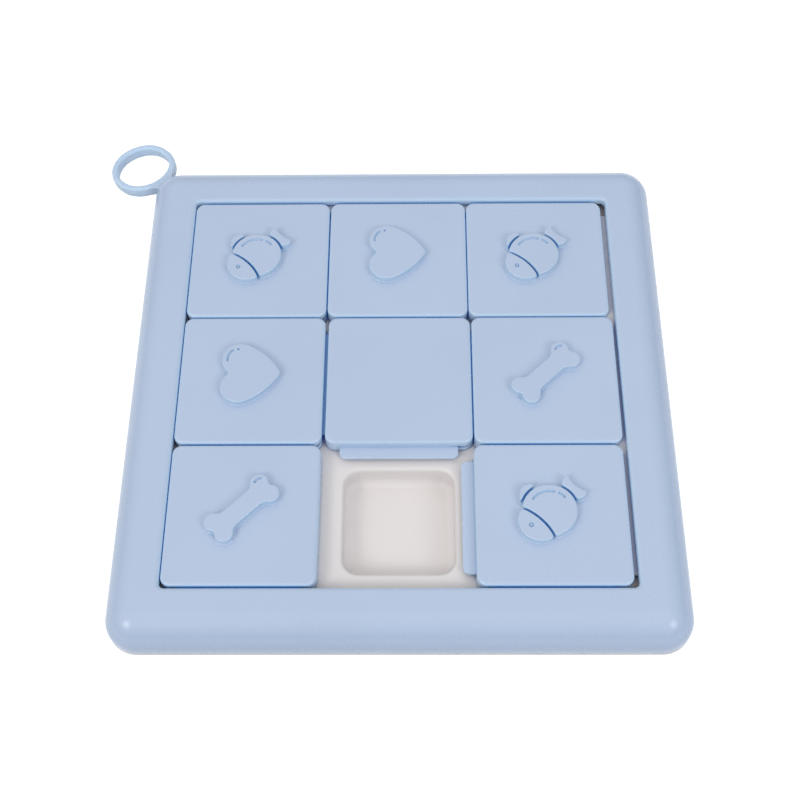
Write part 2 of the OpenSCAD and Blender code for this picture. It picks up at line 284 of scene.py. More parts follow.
def inset(outline, amount):
    """The outline drawn in by an amount, or out where the amount is negative."""
    points = []
    for a, b, c in zip(outline[-1:] + outline[:-1], outline, outline[1:] + outline[:1]):
        before = Vector((b[0] - a[0], b[1] - a[1])).normalized()
        after = Vector((c[0] - b[0], c[1] - b[1])).normalized()
        mitre = Vector((-before.y - after.y, before.x + after.x)) / (1 + before.dot(after))
        points.append((b[0] + mitre.x * amount, b[1] + mitre.y * amount))
    return points


def heart_outline():
    """Two lobes and two long flanks, lying on its side with the tip to the right."""
    middle, lobe_x, lobe_y, lobe_r = 1.4, -6, 8, 9.3
    flank_r, join = 38.3, 65
    tip_r, cleft_r = 1.2, 0.8
    lobe = (lobe_x, lobe_y)
    flank = (lobe_x - (flank_r - lobe_r) * math.cos(math.radians(join)),
             lobe_y - (flank_r - lobe_r) * math.sin(math.radians(join)))
    tip = (flank[0] + math.sqrt((flank_r - tip_r) ** 2 - flank[1] ** 2), 0)
    cleft = (lobe_x - math.sqrt((lobe_r + cleft_r) ** 2 - lobe_y ** 2), 0)
    tip_angle = bearing(flank, tip)
    cleft_angle = bearing(lobe, cleft)
    upper = arc(tip, tip_r, 0, tip_angle)
    upper += arc(flank, flank_r, tip_angle, join)
    upper += arc(lobe, lobe_r, join, cleft_angle + 360)
    upper += arc(cleft, cleft_r, bearing(cleft, lobe), 0)
    lower = [(x, -y) for x, y in upper[::-1]]
    return [(x, y + middle) for x, y in upper + lower]


def bone_outline():
    """A shaft with two knuckles at each end, lying across the tile."""
    centre, tilt = (0.1, 1.3), 44.4
    knuckle, knuckle_r, shaft = (14.9, 4), 4.6, 4.8
    neck_r, notch_r = 4.2, 0.7
    neck = (knuckle[0] - math.sqrt((knuckle_r + neck_r) ** 2 - (shaft + neck_r - knuckle[1]) ** 2),
            shaft + neck_r)
    notch = (knuckle[0] + math.sqrt((knuckle_r + notch_r) ** 2 - knuckle[1] ** 2), 0)
    end = arc(notch, notch_r, 180, bearing(notch, knuckle))
    end += arc(knuckle, knuckle_r, bearing(knuckle, notch), bearing(knuckle, neck))
    end += arc(neck, neck_r, bearing(neck, knuckle), -90)
    quarter = end + [(-x, y) for x, y in end[::-1]]
    whole = quarter + [(-x, -y) for x, y in quarter]
    c, s = math.cos(math.radians(tilt)), math.sin(math.radians(tilt))
    return [(centre[0] + x * c - y * s, centre[1] + x * s + y * c) for x, y in whole]


FISH_BODY, FISH_BODY_R = (-1.3, -0.1), 13.3
FISH_HEAD, FISH_HEAD_R = (-6.2, -5.7), 10.7
GILL, GILL_R = (-26.2, -25.5), 29
PARTING = 1.2                       # the gap between the fish's parts
EYE, EYE_R, EYE_LINE = (-10.7, -8.2), 0.85, 0.5
STROKE_R = 0.72                     # half the width of an engraved stroke
STROKE_SUNK = 0.3                   # how far below the picture's top a stroke's middle lies


def fish_silhouette():
    """The round body and the head in one closed outline, joined by their outer tangents."""
    d = math.dist(FISH_BODY, FISH_HEAD)
    aim = bearing(FISH_BODY, FISH_HEAD)
    tangent = math.degrees(math.acos((FISH_BODY_R - FISH_HEAD_R) / d))
    outline = arc(FISH_HEAD, FISH_HEAD_R, aim - tangent, aim + tangent)
    outline += arc(FISH_BODY, FISH_BODY_R, aim + tangent, aim - tangent + 360)
    return outline


def fish_outlines():
    """The fish's body, head, fin and tail, parted by narrow gaps."""
    silhouette = evened(fish_silhouette(), 0.1)
    parts = []
    for side in (1, -1):
        radius = GILL_R + side * PARTING / 2
        kept = [side * (math.dist(p, GILL) - radius) > 0 for p in silhouette]
        first = next(i for i, k in enumerate(kept) if k and not kept[i - 1])
        turned = silhouette[first:] + silhouette[:first]
        flags = kept[first:] + kept[:first]
        edge = [p for p, k in zip(turned, flags) if k]
        back = arc(GILL, radius, bearing(GILL, edge[-1]), bearing(GILL, edge[0]))
        parts.append(edge + back[1:-1])
    near = FISH_BODY_R + PARTING
    fin = [(-15.6, 4.8), (-15.8, 7), (-15.7, 9.2), (-15, 11.2), (-13.6, 12.7), (-11.2, 13.5),
           (-8.5, 13.6)]
    parts.append(fin[::-1] + back_edge(near, fin[0], fin[-1]))
    tail_up, tail_low = (7.5, 18.6), (17.4, 9.2)
    scoop, scoop_r = (20.3, 21.6), 12.4
    tail = [(5, 13.8), (5.6, 16), tail_up]
    tail += arc(scoop, scoop_r, bearing(scoop, tail_up) + 360, bearing(scoop, tail_low) + 360)[2:-2]
    tail += [tail_low, (15.9, 6.9), (12.9, 5.6)]
    parts.append(tail[::-1] + back_edge(near, tail[0], tail[-1]))
    return parts


def back_edge(radius, start, end):
    """The edge of a fin or tail that runs along the body."""
    return arc(FISH_BODY, radius, bearing(FISH_BODY, start), bearing(FISH_BODY, end))


def outlines(kind):
    """The closed outlines of a picture's raised pads."""
    if kind == "heart":
        return [heart_outline()]
    if kind == "bone":
        return [bone_outline()]
    return fish_outlines()


def grooves(kind):
    """The engraved strokes of a picture, each a list of points. One point makes a dot."""
    if kind == "heart":
        return [arc((-6, 9.4), 6.5, 187, 128, 0.5), [(-7.2, 15.2)]]
    if kind == "bone":
        return [[(5.7, 14.7), (6.2, 15.5), (6.8, 16.1), (7.6, 16.5), (8.5, 16.7)]]
    return [arc(FISH_BODY, 9.7, 145, 76, 0.5), arc(FISH_BODY, 9.9, 60, 42, 0.5)]


def counterclockwise(outline):
    """The outline in the order that inset() draws inwards."""
    following = outline[1:] + outline[:1]
    area = sum(a[0] * b[1] - b[0] * a[1] for a, b in zip(outline, following))
    return outline if area > 0 else outline[::-1]


def pad_rings(outline, z):
    """Rings of a raised pad: a small fillet at its foot, a wall and a rounded upper edge.

    Each ring is drawn in a little from the one below and softened once, so that none crosses
    itself."""
    foot, edge, sunk, steps = 0.4, 0.65, 0.3, 7
    outline = evened(softened(evened(counterclockwise(outline)), passes=8))
    quarter = [math.pi / 2 * i / steps for i in range(steps + 1)]
    rows = [(-foot, -sunk)]
    rows += [(-foot * (1 - math.sin(a)), foot * (1 - math.cos(a))) for a in quarter]
    rows += [(drawn, PICTURE_H - drop) for drawn, drop in soft_steps(edge, steps)]
    rings = []
    ring = inset(outline, -foot)
    reached = -foot
    for drawn, rise in rows:
        if drawn > reached:
            ring = evened(softened(inset(ring, drawn - reached), passes=1), count=len(outline))
        reached = drawn
        rings.append([(x, y, z + rise) for x, y in ring])
    return rings


def capsule_rings(points, radius, z):
    """Rings of a stroke with a round section and round ends."""
    turns, tip_steps, dot_length = 12, 4, 0.01
    if len(points) == 1:
        points = [points[0], (points[0][0] + dot_length, points[0][1])]
    heading = [Vector((b[0] - a[0], b[1] - a[1])).normalized() for a, b in zip(points, points[1:])]
    start, end = heading[0], heading[-1]
    tips = [math.pi / 2 * i / tip_steps for i in range(tip_steps)]
    first, last = Vector(points[0]), Vector(points[-1])
    rows = [(first - start * radius * math.cos(a), start, radius * math.sin(a)) for a in tips]
    rows += [(Vector(p), h, radius) for p, h in zip(points, [start] + heading)]
    rows += [(last + end * radius * math.cos(a), end, radius * math.sin(a)) for a in tips[::-1]]
    angles = [2 * math.pi * i / turns for i in range(turns)]
    rings = []
    for centre, along, r in rows:
        r = max(r, TINY)
        side = Vector((-along.y, along.x)) * r
        rings.append([
            (centre.x + side.x * math.cos(a), centre.y + side.y * math.cos(a), z + r * math.sin(a))
            for a in angles
        ])
    return rings


def hoop_rings(centre, radius, thickness, z):
    """Rings of a small hoop with a round section."""
    turns = 24
    angles = [2 * math.pi * i / turns for i in range(turns)]
    return [
        [(centre[0] + (radius + thickness * math.cos(b)) * math.cos(a),
          centre[1] + (radius + thickness * math.cos(b)) * math.sin(a), z + thickness * math.sin(b))
         for b in angles[::2]]
        for a in angles
    ]


# ---------------------------------------------------------------- materials

def new_material(name, colour, roughness):
    """A material, its node tree and its shader."""
    material = bpy.data.materials.new(name)
    material.use_nodes = True
    shader = material.node_tree.nodes["Principled BSDF"]
    shader.inputs["Base Color"].default_value = (*colour, 1)
    shader.inputs["Roughness"].default_value = roughness
    return material, material.node_tree, shader


def noise(tree, scale, detail=2.0):
    """Soft noise through the object, with about as many waves to a metre as its scale."""
    place = tree.nodes.new("ShaderNodeTexCoord")
    texture = tree.nodes.new("ShaderNodeTexNoise")
    texture.inputs["Scale"].default_value = scale
    texture.inputs["Detail"].default_value = detail
    tree.links.new(place.outputs["Object"], texture.inputs["Vector"])
    return texture.outputs["Fac"]


def spread(tree, value, low, high, start=0.3, end=0.7):
    """A value from start to end brought to the range from low to high."""
    node = tree.nodes.new("ShaderNodeMapRange")
    node.inputs["From Min"].default_value = start
    node.inputs["From Max"].default_value = end
    node.inputs["To Min"].default_value = low
    node.inputs["To Max"].default_value = high
    tree.links.new(value, node.inputs["Value"])
    return node.outputs["Result"]


def mixed(tree, factor, a, b):
    """Colour a where the factor is 0, colour b where it is 1."""
    node = tree.nodes.new("ShaderNodeMix")
    node.data_type = "RGBA"
    tree.links.new(factor, node.inputs["Factor"])
    for socket, value in (("A", a), ("B", b)):
        target = [i for i in node.inputs if i.name == socket and i.type == "RGBA"][0]
        if isinstance(value, tuple):
            target.default_value = (*value, 1)
        else:
            tree.links.new(value, target)
    return [o for o in node.outputs if o.type == "RGBA"][0]


def grain(tree, shader, scale, height, strength=0.5):
    """The fine texture of a moulded surface. Its height is in millimetres."""
    bump = tree.nodes.new("ShaderNodeBump")
    bump.inputs["Distance"].default_value = height * MM
    bump.inputs["Strength"].default_value = strength
    tree.links.new(noise(tree, scale, 3.0), bump.inputs["Height"])
    tree.links.new(bump.outputs["Normal"], shader.inputs["Normal"])


def calculated(tree, operation, *values):
    """The result of one sum on values that are numbers or other nodes' outputs."""
    node = tree.nodes.new("ShaderNodeMath")
    node.operation = operation
    for socket, value in zip(node.inputs, values):
        if isinstance(value, (int, float)):
            socket.default_value = value
        else:
            tree.links.new(value, socket)
    return node.outputs[0]


def parted(tree, vector):
    """A vector's three parts."""
    node = tree.nodes.new("ShaderNodeSeparateXYZ")
    tree.links.new(vector, node.inputs[0])
    return node.outputs


def turned_down(tree):
    """0 where the surface faces up, and 1 on its walls and undersides."""
    wall, flat = 0.7, 0.98
    geometry = tree.nodes.new("ShaderNodeNewGeometry")
    return spread(tree, parted(tree, geometry.outputs["Normal"])["Z"], 1, 0, wall, flat)


def near_middle(tree, half):
    """1 inside a square of a half width in millimetres, and 0 outside it."""
    place = tree.nodes.new("ShaderNodeTexCoord")
    axes = parted(tree, place.outputs["Object"])
    away = [calculated(tree, "ABSOLUTE", axes[axis]) for axis in ("X", "Y")]
    return calculated(tree, "LESS_THAN", calculated(tree, "MAXIMUM", *away), half * MM)


EDGES_OPEN = 0.12                   # how much more open than it is a wall with painted light counts, so that it gets less painted shade and glow
PAINTED_SHADE_FROM, PAINTED_SHADE_TO = 0.12, 0.62     # openness that has the full painted shade, and that has the colour without it
PAINTED_GLOW_FROM, PAINTED_GLOW_TO = 0.02, 0.34     # openness that has the full painted glow, and that has none


def moulded(name, colour, painted_light_colour, painted_light_half, painted_shade, glow, roughness, reach, grain_height=0.012):
    """Moulded plastic: a fine grain, a faint unevenness, painted light that makes walls and
    undersides paler inside a square of a half width, and painted shade, a deeper colour, down in
    its gaps, where a painted glow stands in for light that has come through the plastic. reach is
    how far a gap is looked for."""
    patches, gloss_patches, grain_scale = 18, 120, 1400
    unevenness, gloss_range, grain_strength = 0.015, 0.03, 0.3
    material, tree, shader = new_material(name, colour, roughness)
    lighter = tuple(min(1, c * (1 + unevenness)) for c in colour)
    darker = tuple(c * (1 - unevenness) for c in colour)
    even = mixed(tree, spread(tree, noise(tree, patches), 0, 1), darker, lighter)
    hollow = tree.nodes.new("ShaderNodeAmbientOcclusion")
    hollow.samples = 8
    hollow.inputs["Distance"].default_value = reach * MM
    # Painted light: walls and undersides inside the square are made paler than the surfaces facing
    # up.
    edges = calculated(tree, "MULTIPLY", turned_down(tree), near_middle(tree, painted_light_half))
    with_painted_light = mixed(tree, edges, even, painted_light_colour)
    openness = calculated(tree, "MULTIPLY_ADD", edges, EDGES_OPEN, hollow.outputs["AO"])
    # Painted shade: the colour turns deeper where the ambient occlusion finds the surface closed
    # in.
    base = mixed(tree, spread(tree, openness, 0, 1, PAINTED_SHADE_FROM, PAINTED_SHADE_TO), painted_shade, with_painted_light)
    # Painted glow: a faint emission where the surface is most closed in, standing in for light come
    # through the plastic.
    light = mixed(tree, spread(tree, openness, 0, 1, PAINTED_GLOW_FROM, PAINTED_GLOW_TO), glow, (0.0, 0.0, 0.0))
    gloss = noise(tree, gloss_patches)
    tree.links.new(base, shader.inputs["Base Color"])
    tree.links.new(light, shader.inputs["Emission Color"])
    shader.inputs["Emission Strength"].default_value = 1
    tree.links.new(spread(tree, gloss, roughness - gloss_range, roughness + gloss_range),
                   shader.inputs["Roughness"])
    grain(tree, shader, grain_scale, grain_height, grain_strength)
    return material


def see_inside(material, depth):
    """Lets light travel inside a soft plastic, by a depth in millimetres."""
    shader = material.node_tree.nodes["Principled BSDF"]
    shader.inputs["Subsurface Weight"].default_value = 1
    shader.inputs["Subsurface Radius"].default_value = (1, 1, 1)
    shader.inputs["Subsurface Scale"].default_value = depth * MM


BLUE = (0.462, 0.560, 0.735)
# painted light that makes the blue plastic's walls and edges paler
BLUE_PAINTED_LIGHT = (0.545, 0.69, 0.865)
# painted shade for the gaps of the blue plastics
BLUE_PAINTED_SHADE = (0.09, 0.35, 0.66)
# a painted glow in the gaps of the blue plastics
BLUE_PAINTED_GLOW = (0.002, 0.035, 0.11)
SOFT_BLUE = (0.53, 0.655, 0.81)
# painted light that makes the loop's walls and undersides paler
SOFT_PAINTED_LIGHT = (0.61, 0.755, 0.98)
WHITE = (0.775, 0.735, 0.73)
# painted shade for the white tray's gaps and corner pits
WHITE_PAINTED_SHADE = (0.05, 0.09, 0.26)
# a painted glow in the white tray's gaps
WHITE_PAINTED_GLOW = (0.002, 0.01, 0.05)

# The blue plastics get painted light on their walls; all three get painted shade and a painted glow
# in their gaps.
blue_plastic = moulded(
    "blue_plastic", BLUE, BLUE_PAINTED_LIGHT, painted_light_half=WINDOW + 2.5, painted_shade=BLUE_PAINTED_SHADE, glow=BLUE_PAINTED_GLOW,
    roughness=0.26, reach=4)
white_plastic = moulded(
    "white_plastic", WHITE, WHITE, painted_light_half=OUTER, painted_shade=WHITE_PAINTED_SHADE, glow=WHITE_PAINTED_GLOW,
    roughness=0.4, reach=4.5)
soft_blue = moulded(
    "soft_blue", SOFT_BLUE, SOFT_PAINTED_LIGHT, painted_light_half=OUTER * 2, painted_shade=BLUE_PAINTED_SHADE, glow=BLUE_PAINTED_GLOW,
    roughness=0.42, reach=4, grain_height=0.02)
see_inside(soft_blue, depth=1.5)


def foot_rubber():
    """Matt dark rubber with a coarse grain."""
    material, tree, shader = new_material("foot_rubber", (0.35, 0.37, 0.4), 0.72)
    grain(tree, shader, scale=900, height=0.04, strength=0.8)
    return material


def plated_steel():
    """Zinc-plated steel with uneven gloss."""
    material, tree, shader = new_material("plated_steel", (0.6, 0.6, 0.61), 0.34)
    shader.inputs["Metallic"].default_value = 1
    gloss = spread(tree, noise(tree, scale=500), low=0.28, high=0.42)
    tree.links.new(gloss, shader.inputs["Roughness"])
    grain(tree, shader, scale=2500, height=0.006)
    return material


# ---------------------------------------------------------------- tiles

def tile_cap(tile, kind):
    """A tile's cap with its rounded edge, and its raised and engraved picture."""
    low, high = node_box(tile + "_cap")
    x, y = (low.x + high.x) / 2, (low.y + high.y) / 2
    top = CAP_HIGH.z

    def ring(drawn, z):
        return moved(square_ring(TILE - drawn, TILE_R - drawn, z, steps=10), x, y)

    cap = lofted(tile + "_top", slab_rings(ring, low.z, top, CAP_ROUND, bottom=0.25, hold=0.4))
    if kind:
        pads = [moved_rings(pad_rings(outline, top), x, y) for outline in outlines(kind)]
        picture = lofted("pads", *pads)
        engraved = top + PICTURE_H - STROKE_SUNK
        strokes = [capsule_rings(points, STROKE_R, engraved) for points in grooves(kind)]
        strokes = [moved_rings(rings, x, y) for rings in strokes]
        combine(picture, lofted("strokes", *strokes), "DIFFERENCE")
        if kind == "fish":
            hoop = moved_rings(hoop_rings(EYE, EYE_R, EYE_LINE, engraved), x, y)
            combine(picture, lofted("eye", hoop, closed=True), "DIFFERENCE")
        combine(cap, picture, "UNION")
    dress(cap, tile + "_tile", blue_plastic, tile + "_cap")


def tile_slider(tile):
    """A tile's sole, its core between the grooves, and its tongues at the left and the front."""
    low, high = node_box(tile + "_slider")
    x, y = high.x - TILE, high.y - TILE
    back = 7.2 / 2                  # half the grooves' depth, by which the core stands back
    sole_top = low.z + 2.2
    tongue_low = sole_top + 0.2
    tongue_high = tongue_low + 1.9
    tongue_half, tongue_r = 29.8, 3
    core = TILE - back
    core_low = low.z + 0.5          # inside the sole, which the core is joined to

    def sole_ring(drawn, z):
        return moved(square_ring(TILE - drawn, TILE_R - drawn, z), x, y)

    def core_ring(drawn, z):
        return moved(square_ring(core - drawn, TILE_R - drawn, z), x - back, y - back)

    sole_rings = slab_rings(sole_ring, low.z, sole_top, top=0.35, bottom=0.35)
    core_rings = slab_rings(core_ring, core_low, high.z, top=0.15, bottom=0.1)
    slider = lofted(tile + "_slide", sole_rings)
    combine(slider, lofted("core", core_rings), "UNION")
    reach = high.x - TILE * 2 - low.x
    root = 2
    for turned in (False, True):
        def tongue_ring(drawn, z):
            half_x = (reach + root) / 2
            points = oblong_ring(half_x - drawn, tongue_half - drawn, tongue_r - drawn, z)
            points = moved(points, -TILE - reach + half_x, 0)
            if turned:
                points = [(-py, px, pz) for px, py, pz in points]
            return moved(points, x, y)

        tongue = slab_rings(tongue_ring, tongue_low, tongue_high, top=0.45, bottom=0.3, hold=0.2)
        combine(slider, lofted("tongue", tongue), "UNION")
    dress(slider, tile + "_tile", blue_plastic, tile + "_slider")


# ---------------------------------------------------------------- frame

def frame_shell():
    """The shell with its big outer rounding, its lip and its hollow underside."""
    steps = 20                      # of the roundings that are in full view

    def outer(drawn, z):
        return square_ring(OUTER - drawn, OUTER_ROUND - drawn, z, steps)

    def window(drawn, z):
        return square_ring(WINDOW + drawn, WINDOW_R + drawn, z, steps)

    hold, lip_edge = 0.6, 0.3
    bevel_in, bevel_up = 0.3, 0.4
    hole_depth = 9
    rings = [outer(drawn, FRAME_TOP - drop) for drawn, drop in soft_steps(OUTER_ROUND, steps)]
    rings.insert(0, outer(0, FLANGE_TOP + bevel_up))
    rings.append(outer(OUTER_ROUND + hold, FRAME_TOP))
    rings.append(window(WINDOW_ROUND + hold, FRAME_TOP))
    rings += [window(drawn, FRAME_TOP - drop) for drawn, drop in soft_steps(WINDOW_ROUND, 8)[::-1]]
    rings += [window(drawn, LIP_LOW + drop) for drawn, drop in soft_steps(lip_edge, 3)]
    rings.append(window(LIP_T, LIP_LOW))
    under = FRAME_TOP - FRAME_WALL
    rings.append(window(LIP_T, under))
    inner = [outer(FRAME_WALL + drawn, under - drop) for drawn, drop in soft_steps(INNER_ROUND, 12)]
    rings += inner[::-1]
    rings.append(outer(FRAME_WALL, FLANGE_TOP))
    rings.append(outer(bevel_in, FLANGE_TOP))
    shell = lofted("frame_shell", rings, closed=True)
    combine(shell, lofted("bosses", *[boss_rings(x, y) for x, y in BOSSES]), "UNION")
    holes = [rod_rings(x, y, SCREW_R + HOLE_PLAY, FLANGE_TOP - 1, FLANGE_TOP + hole_depth)
             for x, y in BOSSES]
    combine(shell, lofted("screw_holes", *holes), "DIFFERENCE")
    combine(shell, loop_notch(), "DIFFERENCE")
    dress(shell, "feeder", blue_plastic, "top_frame")


def boss_rings(x, y):
    """A round boss from the flange up into the shell."""
    sunk = 0.9                      # how far its top goes into the shell's wall

    def shell_height(px, py):
        away = math.hypot(max(0, abs(px) - ROUNDING), max(0, abs(py) - ROUNDING))
        return FRAME_TOP - OUTER_ROUND + math.sqrt(INNER_ROUND ** 2 - away ** 2)

    top = [(px, py, shell_height(px, py) + sunk) for px, py, _ in disc_ring(x, y, BOSS_R, 0)]
    return [disc_ring(x, y, BOSS_R, FLANGE_TOP), top]


# ---------------------------------------------------------------- tray

def cell_ring(half, radius, z, centre):
    """Where lines from a well's corner centres meet the border of its square cell."""
    k = half - radius
    edge = CELL / 2
    quarter = []
    for i in range(ROUND_STEPS + 1):
        a = math.pi / 2 * i / ROUND_STEPS
        reach = (edge - k) / max(math.cos(a), math.sin(a))
        quarter.append((k + reach * math.cos(a), k + reach * math.sin(a), z))
    return moved(quadrant_ring(quarter), *centre)


def well_rings(half, radius, deck, floor, rim, curve, centre):
    """Rings from a cell's border over the rim and down the wall to the floor."""
    hold = 0.5

    def ring(grown, z):
        return moved(square_ring(half + grown, radius + grown, z), *centre)

    rings = [cell_ring(half, radius, deck, centre), ring(rim + hold, deck)]
    rings += [ring(drawn, deck - drop) for drawn, drop in soft_steps(rim, 6)[::-1]]
    rings += [ring(-drawn, floor + drop) for drawn, drop in soft_steps(curve, 6)]
    rings.append(ring(-curve - hold, floor))
    return rings


def on_window(edge, height):
    """Whether an edge lies on the outer border of the nine cells at a height."""
    ends = [v.co for v in edge.verts]
    across = [abs(max(abs(c.x), abs(c.y)) - WINDOW) for c in ends]
    return max(across) < NEAR and all(abs(c.z - height) < NEAR for c in ends)


def add_sheet(bm, half, radius, deck, floor, rim, curve, border):
    """A deck with nine wells, up to a border ring that carries on from it."""
    made = []
    for column in (-1, 0, 1):
        for row in (-1, 0, 1):
            centre = (column * CELL, row * CELL)
            rings = well_rings(half, radius, deck, floor, rim, curve, centre)
            rows = [[bm.verts.new(p) for p in ring] for ring in rings]
            join_rows(bm, rows)
            bm.faces.new(rows[-1])
            made += rows[0]
    bmesh.ops.remove_doubles(bm, verts=made, dist=NEAR)
    rim_edges = [e for e in bm.edges if e.is_boundary and on_window(e, deck)]
    border_edges = [bm.edges.get((a, b)) for a, b in zip(border, border[1:] + border[:1])]
    bmesh.ops.triangle_fill(bm, edges=rim_edges + border_edges, use_beauty=True)


def tray_shell():
    """The tray in one closed surface, from the deck out over the flange and down the skirt, and
    back up inside it to the underside of the deck."""
    rim, curve, cup_rim = 2, 4, 0.5
    soft, bend = 0.5, 0.15          # the flange's rounding, and how far its middle lies in
    edge = 0.4                      # the bevel of the skirt's edges
    inside = SKIRT_R - TRAY_WALL
    skirt_in, deck_in = SKIRT - TRAY_WALL, DECK_EDGE - TRAY_WALL
    under_deck = DECK - TRAY_WALL
    bottom = TRAY_LOW.z
    rows = [
        (DECK_EDGE - soft, SKIRT_R - soft, DECK),
        (DECK_EDGE, SKIRT_R, DECK - soft),
        (DECK_EDGE, SKIRT_R, FLANGE_TOP),
        (OUTER - soft, OUTER_ROUND - soft, FLANGE_TOP),
        (OUTER - bend, OUTER_ROUND - bend, FLANGE_TOP - bend),
        (OUTER, OUTER_ROUND, FLANGE_TOP - soft),
        (OUTER, OUTER_ROUND, FLANGE_LOW + soft),
        (OUTER - bend, OUTER_ROUND - bend, FLANGE_LOW + bend),
        (OUTER - soft, OUTER_ROUND - soft, FLANGE_LOW),
        (SKIRT, SKIRT_R, FLANGE_LOW),
        (SKIRT, SKIRT_R, bottom + edge),
        (SKIRT - edge, SKIRT_R - edge, bottom),
        (skirt_in + edge, inside + edge, bottom),
        (skirt_in, inside, bottom + edge),
        (skirt_in, inside, FLANGE_LOW),
        (deck_in, inside, FLANGE_LOW),
        (deck_in, inside, under_deck - edge),
        (deck_in - edge, inside - edge, under_deck),
    ]
    bm = bmesh.new()
    rings = [[bm.verts.new(p) for p in square_ring(*row, 16)] for row in rows]
    join_rows(bm, rings)
    add_sheet(bm, WELL, WELL_R, DECK, WELL_FLOOR, rim, curve, rings[0])
    cup, cup_r, cup_floor = WELL + TRAY_WALL, WELL_R + TRAY_WALL, WELL_FLOOR - TRAY_WALL
    add_sheet(bm, cup, cup_r, under_deck, cup_floor, cup_rim, curve + TRAY_WALL, rings[-1])
    tray = to_object("tray_shell", bm)
    for turned in (False, True):
        for side in (-1, 1):
            combine(tray, lofted("rib", rib_rings(side * CELL / 2, turned)), "UNION")
    past, screw_play = 0.5, 0.3     # how far a hole is cut past both faces, and a screw's play
    holes = [rod_rings(x, y, SCREW_R + screw_play, FLANGE_LOW - past, FLANGE_TOP + past)
             for x, y in BOSSES]
    holes += [rod_rings(x, y, FOOT_R + HOLE_PLAY, bottom, FOOT_HIGH.z) for x, y in FEET]
    holes += [rod_rings(x, y, PEG_R + HOLE_PLAY, under_deck - past, DECK + past) for x, y in PEGS]
    combine(tray, lofted("holes", *holes), "DIFFERENCE")
    dress(tray, "feeder", white_plastic, "base_tray")


def rib_rings(place, turned):
    """A rib between the wells, from under the deck down past the flange."""
    length, thickness, edge, edge_r = 2 * DECK_EDGE - TRAY_WALL, 1.6, 0.3, 0.4
    below = 2                       # how far it reaches below the flange
    low, high = FLANGE_LOW - below, DECK - TRAY_WALL / 2
    rings = [oblong_ring(thickness / 2 - edge, length / 2 - edge, edge_r - edge, low, 2)]
    rings += [oblong_ring(thickness / 2, length / 2, edge_r, z, 2) for z in (low + edge, high)]
    rings = [moved(ring, place, 0) for ring in rings]
    return [[(-y, x, z) for x, y, z in ring] for ring in rings] if turned else rings


# ---------------------------------------------------------------- carrying loop

NECK_W = 9
NECK_LOW = FLANGE_TOP + 1.4
LOOP_H = 7
TAB_OUT = 8.74                      # the outer face of the loop's tab, where the notch starts
NOTCH_PLAY = 0.3


def at_loop_corner(obj):
    """Puts a mesh, whose x runs outwards from the corner's centre, at the back left corner."""
    turn = Matrix.Rotation(math.radians(135), 4, "Z")
    obj.data.transform(Matrix.Translation((-ROUNDING * MM, ROUNDING * MM, 0)) @ turn)
    return obj


def loop_notch():
    """The cut in the shell that the loop's neck comes out of."""
    half, end, corner_r = NECK_W / 2 + NOTCH_PLAY, OUTER_ROUND + 9, 0.3
    rings = [
        moved(oblong_ring((end - TAB_OUT) / 2, half, corner_r, z, 2), (TAB_OUT + end) / 2, 0)
        for z in (FLANGE_TOP - 1, NECK_LOW + LOOP_H + NOTCH_PLAY)
    ]
    return at_loop_corner(lofted("loop_notch", rings))


def carry_loop():
    """A soft strap ring that droops a little, its flared neck and the tab behind the shell."""
    inner_r, strap, stretch, edge = 14.4, 3.7, 1.25, 1.75
    turns, gap = 96, 0.8
    away = OUTER_ROUND + gap + strap + inner_r + stretch
    droop = math.radians(10.5)
    near = away - inner_r - strap - stretch
    level = NECK_LOW + LOOP_H / 2
    middle_r = inner_r + strap / 2
    section = [(px, py) for px, py, _ in oblong_ring(strap / 2, LOOP_H / 2, edge, 0, 6)]
    rings = []
    for i in range(turns):
        a = 2 * math.pi * i / turns
        shift = math.copysign(stretch, math.cos(a))
        places = [(middle_r + px, py) for px, py in section]
        places = [(shift + r * math.cos(a), r * math.sin(a), z) for r, z in places]
        rings.append([
            (away + x * math.cos(droop) + z * math.sin(droop), y,
             level - (away - near) * math.sin(droop) - x * math.sin(droop) + z * math.cos(droop))
            for x, y, z in places
        ])
    loop = lofted("loop", rings, closed=True)
    tab_in, tab_half = TAB_OUT - 2.2, 8
    neck_edge, tab_edge = 0.7, 0.3
    side = [(tab_in, NECK_W / 2), (14.2, NECK_W / 2), (15.2, 4.8), (16.4, 5.8), (18.1, 7.8),
            (20.2, 10), (21.2, 9.2), (20.1, 6.3), (19.6, 3.2)]
    plan = evened([(x, -y) for x, y in side] + [(19.4, 0)] + side[::-1], 0.4)

    def neck_ring(drawn, z):
        drawn_in = inset(counterclockwise(plan), min(drawn, neck_edge))
        return [(x, y, z - max(0, x - near) * math.tan(droop)) for x, y in drawn_in]

    def tab_ring(drawn, z):
        half = (TAB_OUT - tab_in) / 2 - drawn
        return moved(oblong_ring(half, tab_half - drawn, 0.3, z, 3), (tab_in + TAB_OUT) / 2, 0)

    high = NECK_LOW + LOOP_H
    neck = slab_rings(neck_ring, NECK_LOW, high, neck_edge, neck_edge, hold=0)
    tab = slab_rings(tab_ring, NECK_LOW, high, tab_edge, tab_edge, hold=0)
    combine(loop, lofted("neck", neck), "UNION")
    combine(loop, lofted("tab", tab), "UNION")
    remesh = loop.modifiers.new("remesh", "REMESH")
    remesh.mode = "VOXEL"
    remesh.voxel_size = 0.4 * MM
    smooth = loop.modifiers.new("smooth", "SMOOTH")
    smooth.iterations = 5
    apply_modifiers(loop)
    at_loop_corner(loop)
    dress(loop, "feeder", soft_blue, "carry_loop")


# ---------------------------------------------------------------- screws and feet

